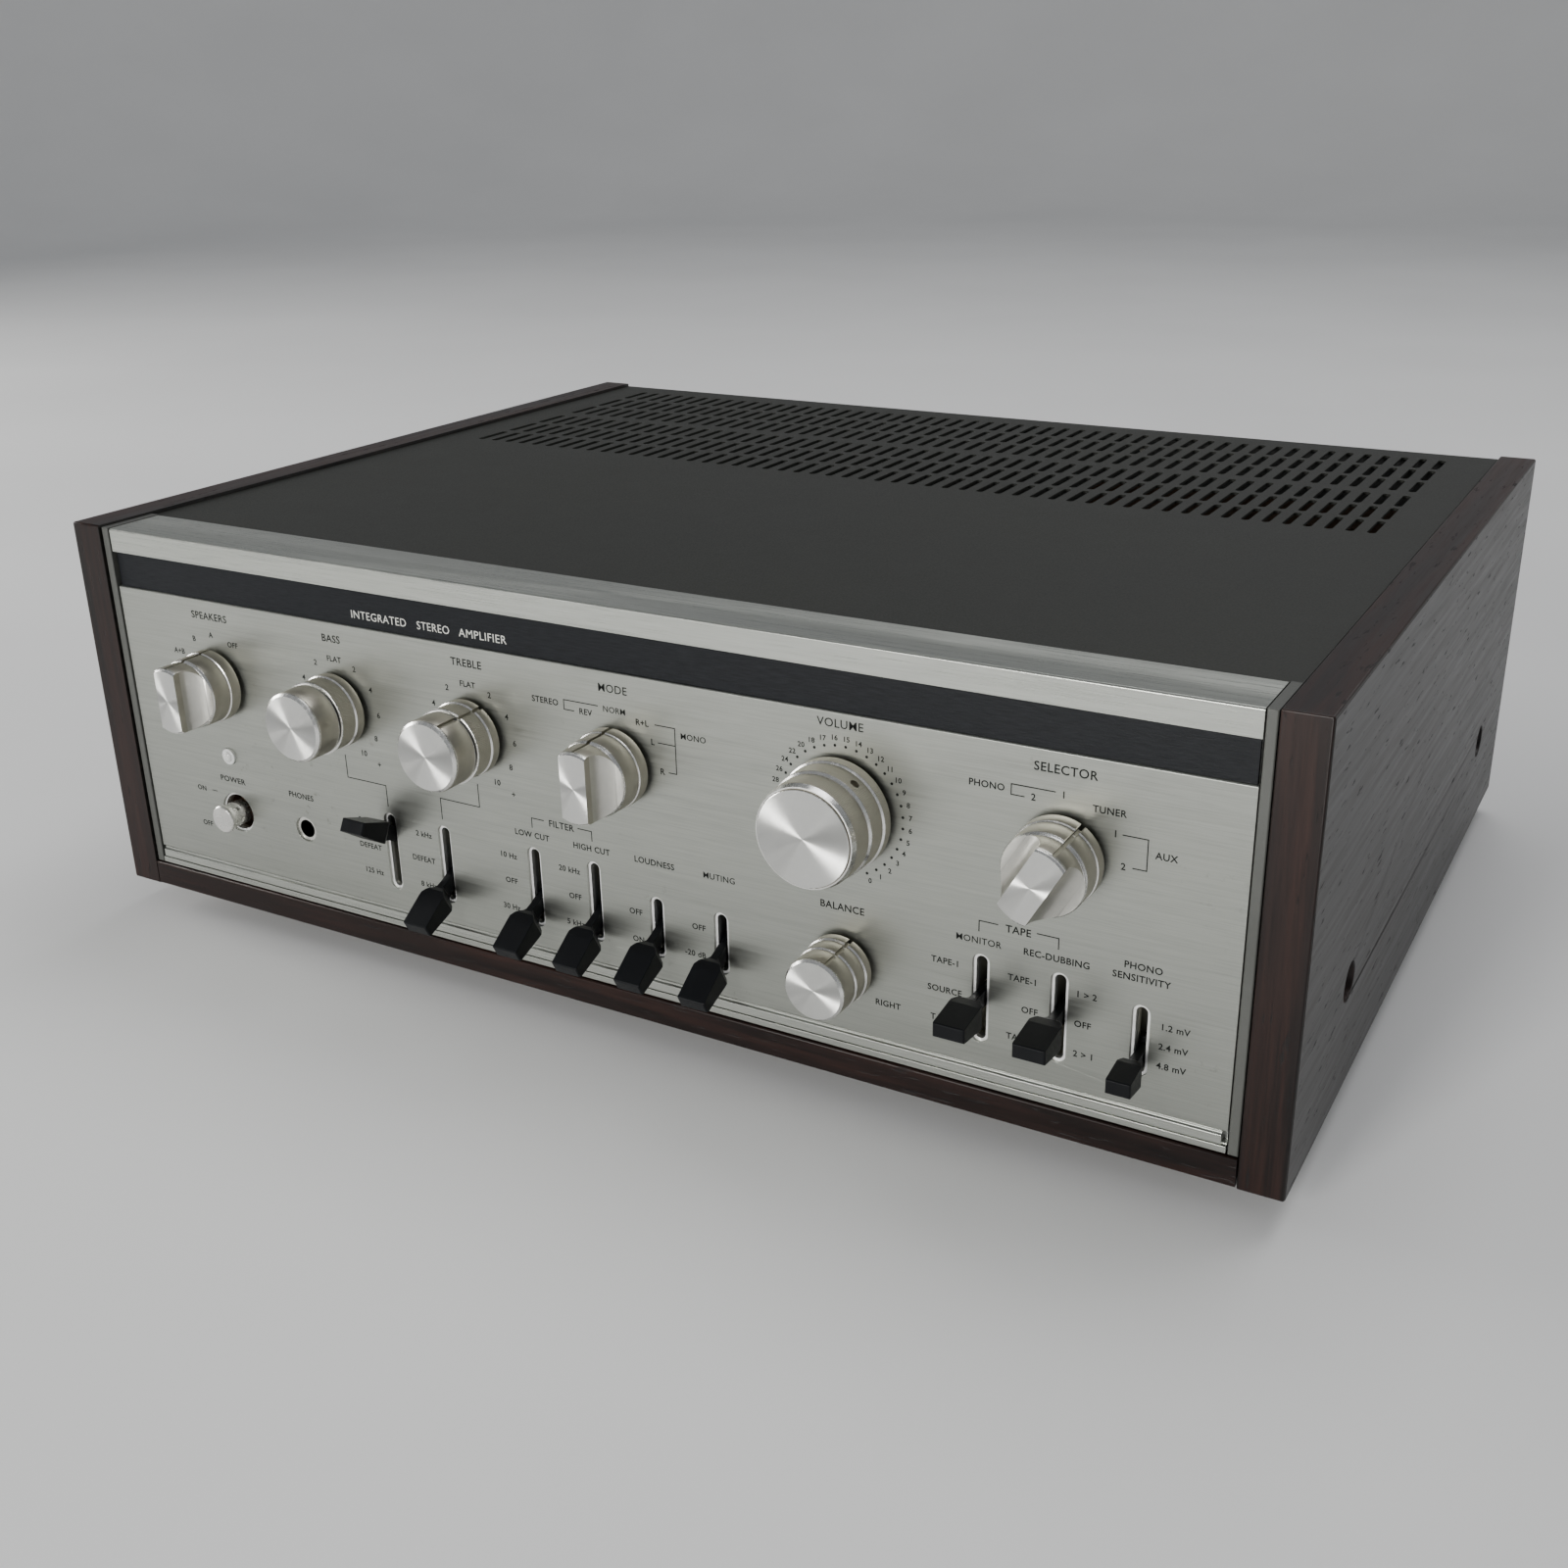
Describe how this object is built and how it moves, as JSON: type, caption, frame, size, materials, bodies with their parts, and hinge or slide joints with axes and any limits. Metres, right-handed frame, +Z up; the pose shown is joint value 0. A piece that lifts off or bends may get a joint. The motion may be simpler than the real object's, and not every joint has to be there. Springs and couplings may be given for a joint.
{
  "type": "integrated amplifier",
  "caption": "Wood-sided stereo amplifier with a brushed front panel, rotary knobs, lever switches, a phones socket and rear connections",
  "frame": {"origin": "centre of the base of the whole amplifier, on the plane the feet stand on", "axes": "+X to the right seen from the front, +Y from the front panel into the depth, +Z up"},
  "size_m": [0.45, 0.3592, 0.1512],
  "materials": {
    "wood": "dark rosewood veneer, satin",
    "cover_paint": "dark olive grey fine texture",
    "steel": "zinc plated",
    "rear_paint": "dark grey satin",
    "panel_aluminium": "fine brushed, clear anodised",
    "trim_aluminium": "brushed, polished edges",
    "band_black": "black, fine grained",
    "strip_paint": "mid grey satin",
    "rubber": "matt",
    "liner_metal": "satin",
    "clear_lens": "clear",
    "screw_metal": "zinc plated",
    "switch_plate": "phenolic",
    "switch_metal": "plated",
    "core_iron": "varnished laminations",
    "coil_wrap": "paper and tape wrap",
    "capacitor_sleeve": "shrink sleeve",
    "sink_aluminium": "black anodised",
    "board": "phenolic board",
    "phenolic": "dark phenolic",
    "jack_plating": "nickel plated",
    "black_plastic": "moulded black",
    "knob_aluminium": "spun faces, champagne sides",
    "shaft_steel": "turned"
  },
  "bodies": {
    "chassis": {"side_panel_left": "wood", "side_panel_right": "wood", "front_rail": "wood", "side_screws": "screw_metal", "top_cover": "cover_paint", "chassis_base": "steel", "rear_panel": "rear_paint", "front_subpanel": "steel", "faceplate": "panel_aluminium", "top_extrusion": "trim_aluminium", "band_insert": "band_black", "bottom_trim": "trim_aluminium", "end_strips": "strip_paint", "feet": "rubber", "slot_liners": "liner_metal", "pilot_lens": "clear_lens", "phones_jack": "liner_metal", "case_screws": "screw_metal", "rotary_switches": "switch_plate", "potentiometers": "switch_metal", "lever_switches": "switch_metal", "power_switch": "switch_plate", "transformer_core": "core_iron", "transformer_coil": "coil_wrap", "filter_capacitors": "capacitor_sleeve", "heat_sinks": "sink_aluminium", "output_transistors": "screw_metal", "circuit_boards": "board", "jack_plate": "phenolic", "input_jacks": "jack_plating", "speaker_terminals": "black_plastic", "terminal_screws": "screw_metal", "ac_outlets": "black_plastic", "cord_gland": "rubber"},
    "speakers control": {"speakers_knob": "knob_aluminium", "speakers_shaft": "shaft_steel"},
    "mode control": {"mode_knob": "knob_aluminium", "mode_shaft": "shaft_steel"},
    "selector control": {"selector_knob": "knob_aluminium", "selector_shaft": "shaft_steel"},
    "volume control": {"volume_knob": "knob_aluminium", "volume_shaft": "shaft_steel"},
    "balance control": {"balance_knob": "knob_aluminium", "balance_shaft": "shaft_steel"},
    "bass front control": {"bass_front_knob": "knob_aluminium", "bass_shaft": "shaft_steel"},
    "bass rear control": {"bass_rear_knob": "knob_aluminium"},
    "treble front control": {"treble_front_knob": "knob_aluminium", "treble_shaft": "shaft_steel"},
    "treble rear control": {"treble_rear_knob": "knob_aluminium"},
    "bass turnover lever": {"bass_turnover_lever": "black_plastic"},
    "treble turnover lever": {"treble_turnover_lever": "black_plastic"},
    "low cut lever": {"low_cut_lever": "black_plastic"},
    "high cut lever": {"high_cut_lever": "black_plastic"},
    "monitor lever": {"monitor_lever": "black_plastic"},
    "dubbing lever": {"dubbing_lever": "black_plastic"},
    "loudness lever": {"loudness_lever": "black_plastic"},
    "muting lever": {"muting_lever": "black_plastic"},
    "power lever": {"power_lever": "knob_aluminium"},
    "sensitivity slider": {"sensitivity_slider": "black_plastic"}
  },
  "joints": [
    {"name": "speakers_turn", "type": "hinge", "parent": "chassis", "child": "speakers control", "pos_m": [-0.1635, -0.16815, 0.099], "axis": [0, -1, 0], "range_deg": [-30, 60]},
    {"name": "bass_front_turn", "type": "hinge", "parent": "chassis", "child": "bass front control", "pos_m": [-0.106, -0.17415, 0.099], "axis": [0, -1, 0], "range_deg": [-270, 30]},
    {"name": "bass_rear_turn", "type": "hinge", "parent": "chassis", "child": "bass rear control", "pos_m": [-0.106, -0.16415, 0.099], "axis": [0, -1, 0], "range_deg": [-270, 30]},
    {"name": "treble_front_turn", "type": "hinge", "parent": "chassis", "child": "treble front control", "pos_m": [-0.0485, -0.17415, 0.099], "axis": [0, -1, 0], "range_deg": [-123, 177]},
    {"name": "treble_rear_turn", "type": "hinge", "parent": "chassis", "child": "treble rear control", "pos_m": [-0.0485, -0.16415, 0.099], "axis": [0, -1, 0], "range_deg": [-120, 180]},
    {"name": "mode_turn", "type": "hinge", "parent": "chassis", "child": "mode control", "pos_m": [0.009, -0.16815, 0.099], "axis": [0, -1, 0], "range_deg": [-90, 30]},
    {"name": "volume_turn", "type": "hinge", "parent": "chassis", "child": "volume control", "pos_m": [0.0878, -0.16815, 0.099], "axis": [0, -1, 0], "range_deg": [-120, 190]},
    {"name": "selector_turn", "type": "hinge", "parent": "chassis", "child": "selector control", "pos_m": [0.156, -0.16815, 0.099], "axis": [0, -1, 0], "range_deg": [-60, 60]},
    {"name": "balance_turn", "type": "hinge", "parent": "chassis", "child": "balance control", "pos_m": [0.088, -0.16615, 0.0487], "axis": [0, -1, 0], "range_deg": [-128, 172]},
    {"name": "bass_turnover_tilt", "type": "hinge", "parent": "chassis", "child": "bass turnover lever", "pos_m": [-0.089, -0.14315, 0.0487], "axis": [1, 0, 0], "range_deg": [0, 55]},
    {"name": "treble_turnover_tilt", "type": "hinge", "parent": "chassis", "child": "treble turnover lever", "pos_m": [-0.065, -0.14315, 0.0487], "axis": [1, 0, 0], "range_deg": [-55, 0]},
    {"name": "low_cut_tilt", "type": "hinge", "parent": "chassis", "child": "low cut lever", "pos_m": [-0.027, -0.14315, 0.0487], "axis": [1, 0, 0], "range_deg": [-55, 0]},
    {"name": "high_cut_tilt", "type": "hinge", "parent": "chassis", "child": "high cut lever", "pos_m": [-0.003, -0.14315, 0.0487], "axis": [1, 0, 0], "range_deg": [-55, 0]},
    {"name": "monitor_tilt", "type": "hinge", "parent": "chassis", "child": "monitor lever", "pos_m": [0.133, -0.14315, 0.0487], "axis": [1, 0, 0], "range_deg": [-27.5, 27.5]},
    {"name": "dubbing_tilt", "type": "hinge", "parent": "chassis", "child": "dubbing lever", "pos_m": [0.157, -0.14315, 0.0487], "axis": [1, 0, 0], "range_deg": [-27.5, 27.5]},
    {"name": "loudness_tilt", "type": "hinge", "parent": "chassis", "child": "loudness lever", "pos_m": [0.021, -0.14315, 0.0487], "axis": [1, 0, 0], "range_deg": [-27.5, 0]},
    {"name": "muting_tilt", "type": "hinge", "parent": "chassis", "child": "muting lever", "pos_m": [0.045, -0.14315, 0.0487], "axis": [1, 0, 0], "range_deg": [-27.5, 0]},
    {"name": "power_tilt", "type": "hinge", "parent": "chassis", "child": "power lever", "pos_m": [-0.1635, -0.14315, 0.0487], "axis": [1, 0, 0], "range_deg": [-8, 8]},
    {"name": "sensitivity_slide", "type": "slide", "parent": "chassis", "child": "sensitivity slider", "axis": [0, 0, 1], "range_m": [0, 0.0124]}
  ]
}
